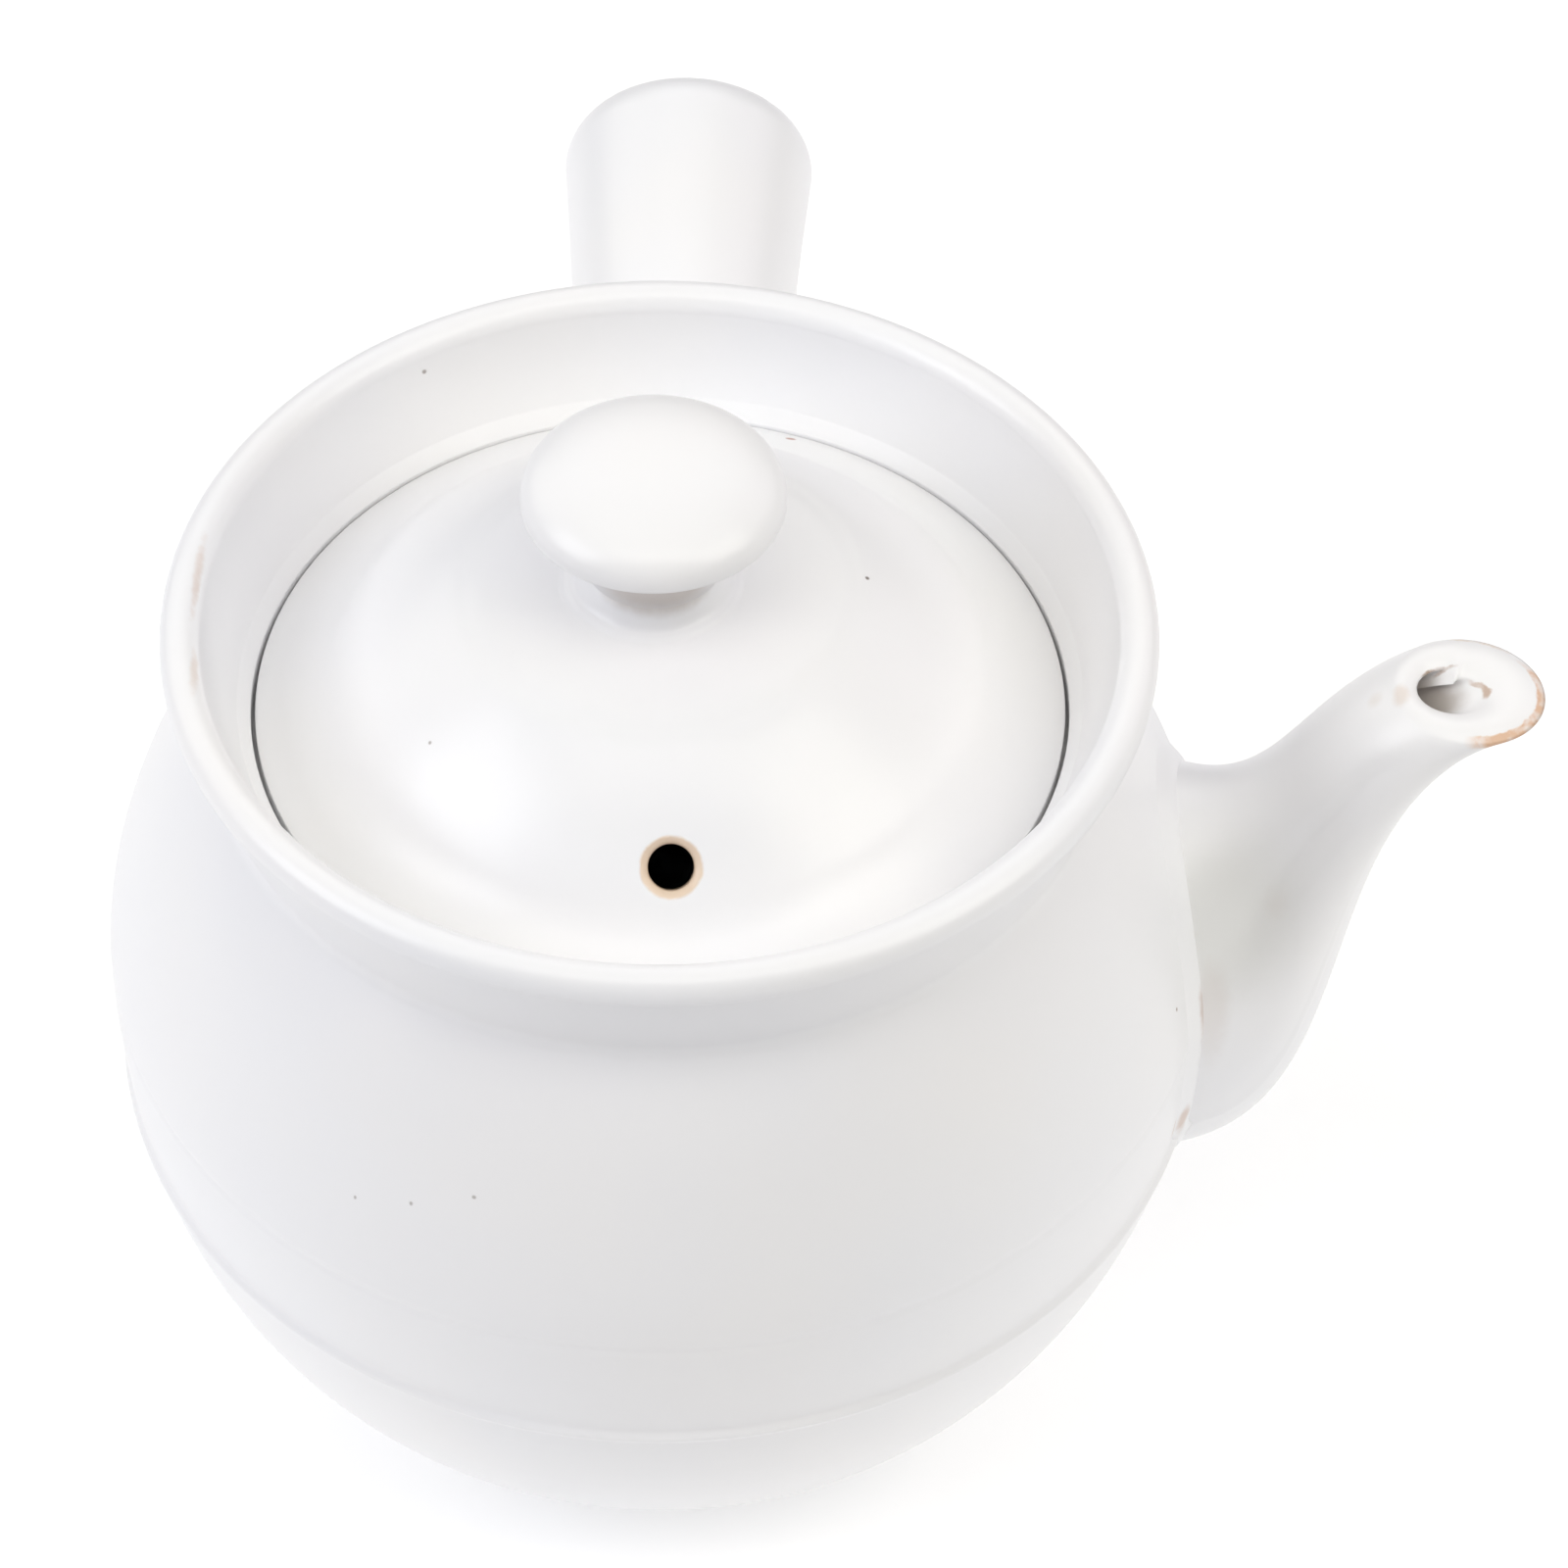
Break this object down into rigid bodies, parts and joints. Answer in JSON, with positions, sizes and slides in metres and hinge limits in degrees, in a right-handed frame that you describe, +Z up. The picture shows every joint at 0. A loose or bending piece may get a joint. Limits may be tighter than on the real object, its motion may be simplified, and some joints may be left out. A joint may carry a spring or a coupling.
{
  "type": "herbal medicine pot",
  "caption": "Round-bellied stoneware decoction pot with a lift-off domed lid and knob, a pouring spout and a hollow side handle.",
  "frame": {"origin": "Centre of the foot ring, on the table", "axes": "+Z up, along the axis that the pot was thrown round; +X out along the spout; +Y out along the side handle"},
  "size_m": [0.2224, 0.2464, 0.1841],
  "materials": {
    "white_glaze": "satin white glaze over buff stoneware, breaking to tan on the edges",
    "seam_glaze": "satin white glaze pooled in the luted joints, a little warmer"
  },
  "bodies": {
    "pot": {"pot_body": "white_glaze", "spout": "white_glaze", "spout_seam": "seam_glaze", "side_handle": "white_glaze", "handle_seam": "seam_glaze"},
    "lid": {"lid": "white_glaze", "lid_knob": "white_glaze", "knob_seam": "seam_glaze"}
  },
  "joints": [
    {"name": "lid_lift", "type": "slide", "parent": "pot", "child": "lid", "axis": [0, 0, 1], "range_m": [0, 0.06]}
  ]
}
